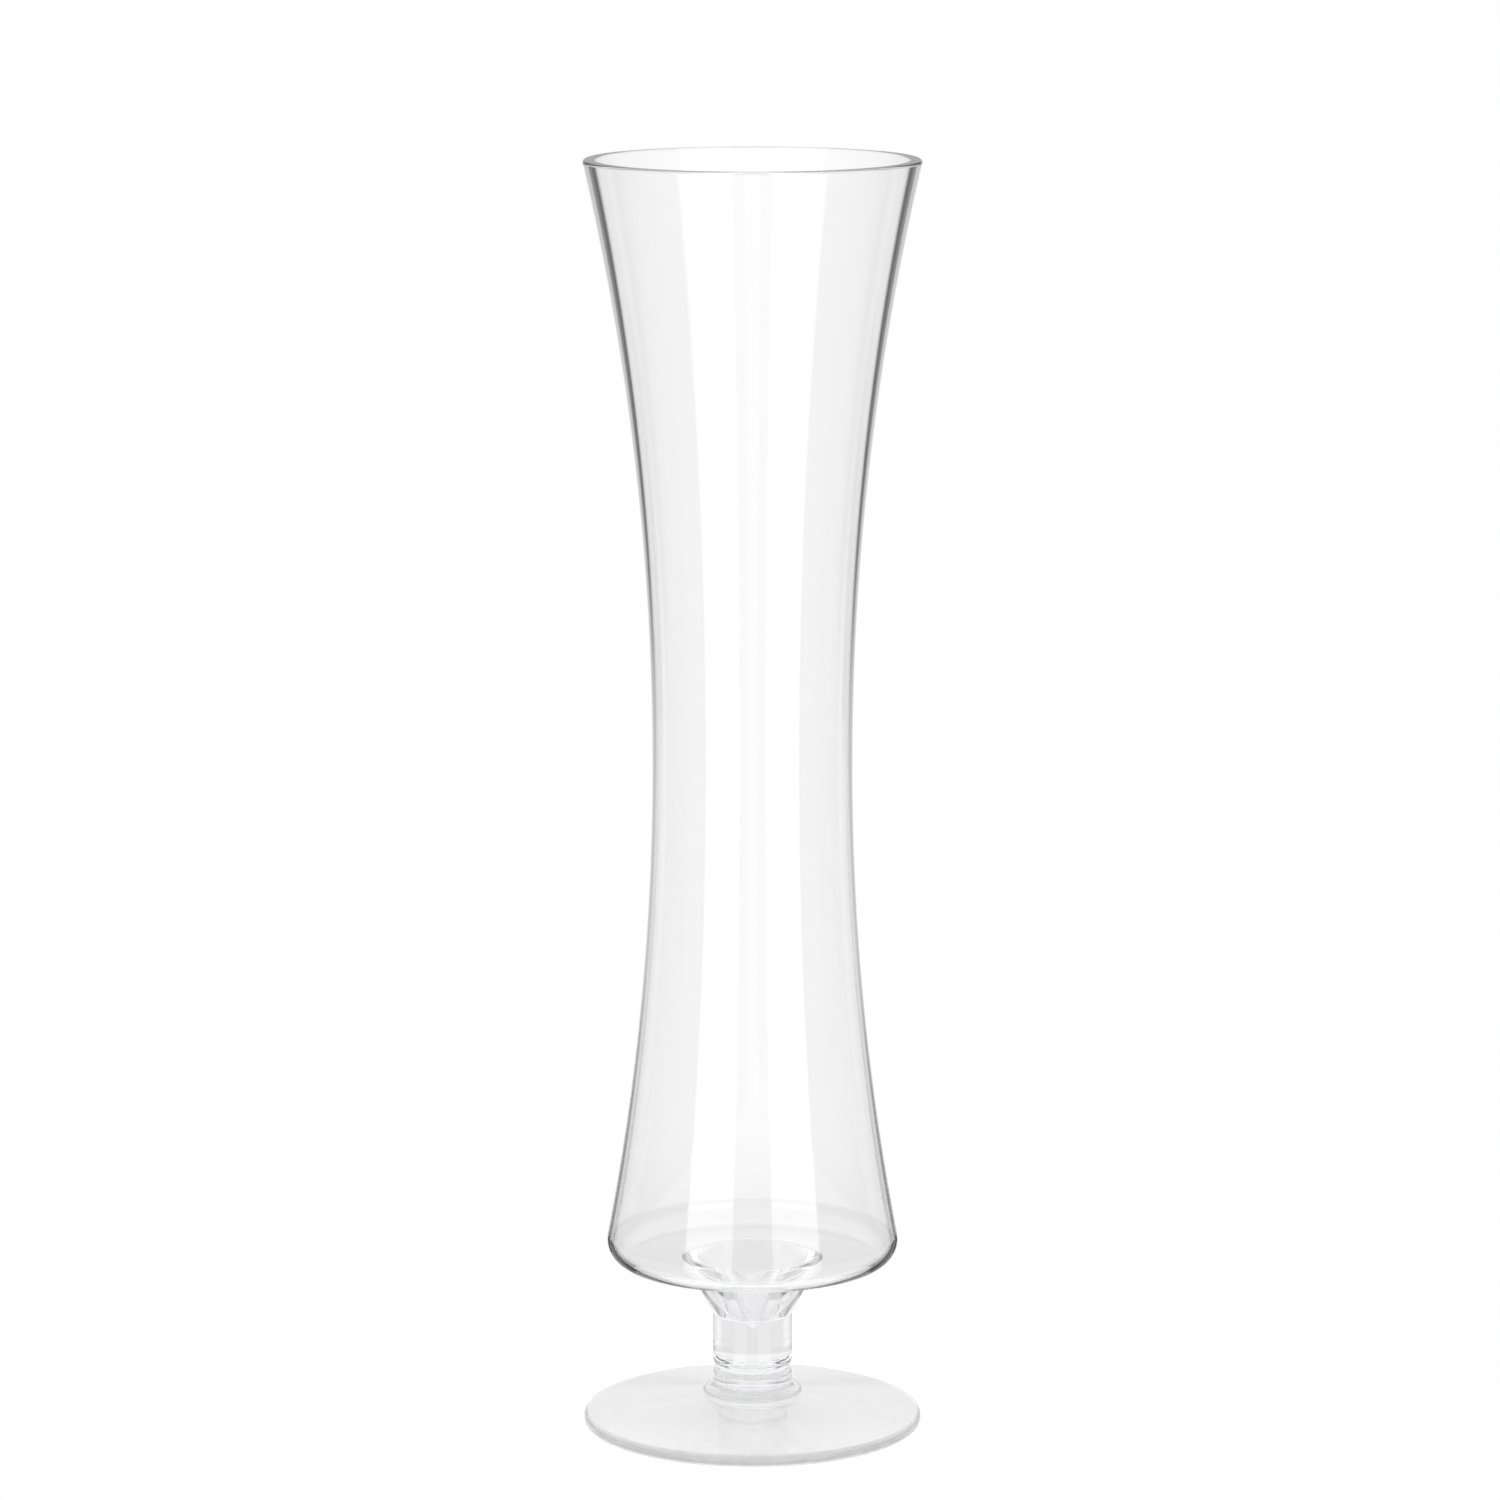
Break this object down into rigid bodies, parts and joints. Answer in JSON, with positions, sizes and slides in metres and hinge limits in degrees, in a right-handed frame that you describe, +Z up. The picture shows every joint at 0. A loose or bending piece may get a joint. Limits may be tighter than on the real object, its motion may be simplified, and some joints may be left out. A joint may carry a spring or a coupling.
{
  "type": "trumpet vase",
  "caption": "Tall clear glass trumpet vase: a waisted open bowl that ends in a solid-walled cone, on a short rod stem, a ringed collar and a round disc foot.",
  "frame": {"origin": "centre of the foot's flat underside, on the surface that the vase stands on", "axes": "+Z up along the vase's axis of revolution; X and Y lie in the underside and are interchangeable"},
  "size_m": [0.1632, 0.1632, 0.61],
  "materials": {
    "clear_glass": "clear, fire-polished"
  },
  "bodies": {
    "root": {"bowl": "clear_glass", "stem": "clear_glass", "stem_collar": "clear_glass", "foot": "clear_glass"}
  },
  "joints": []
}
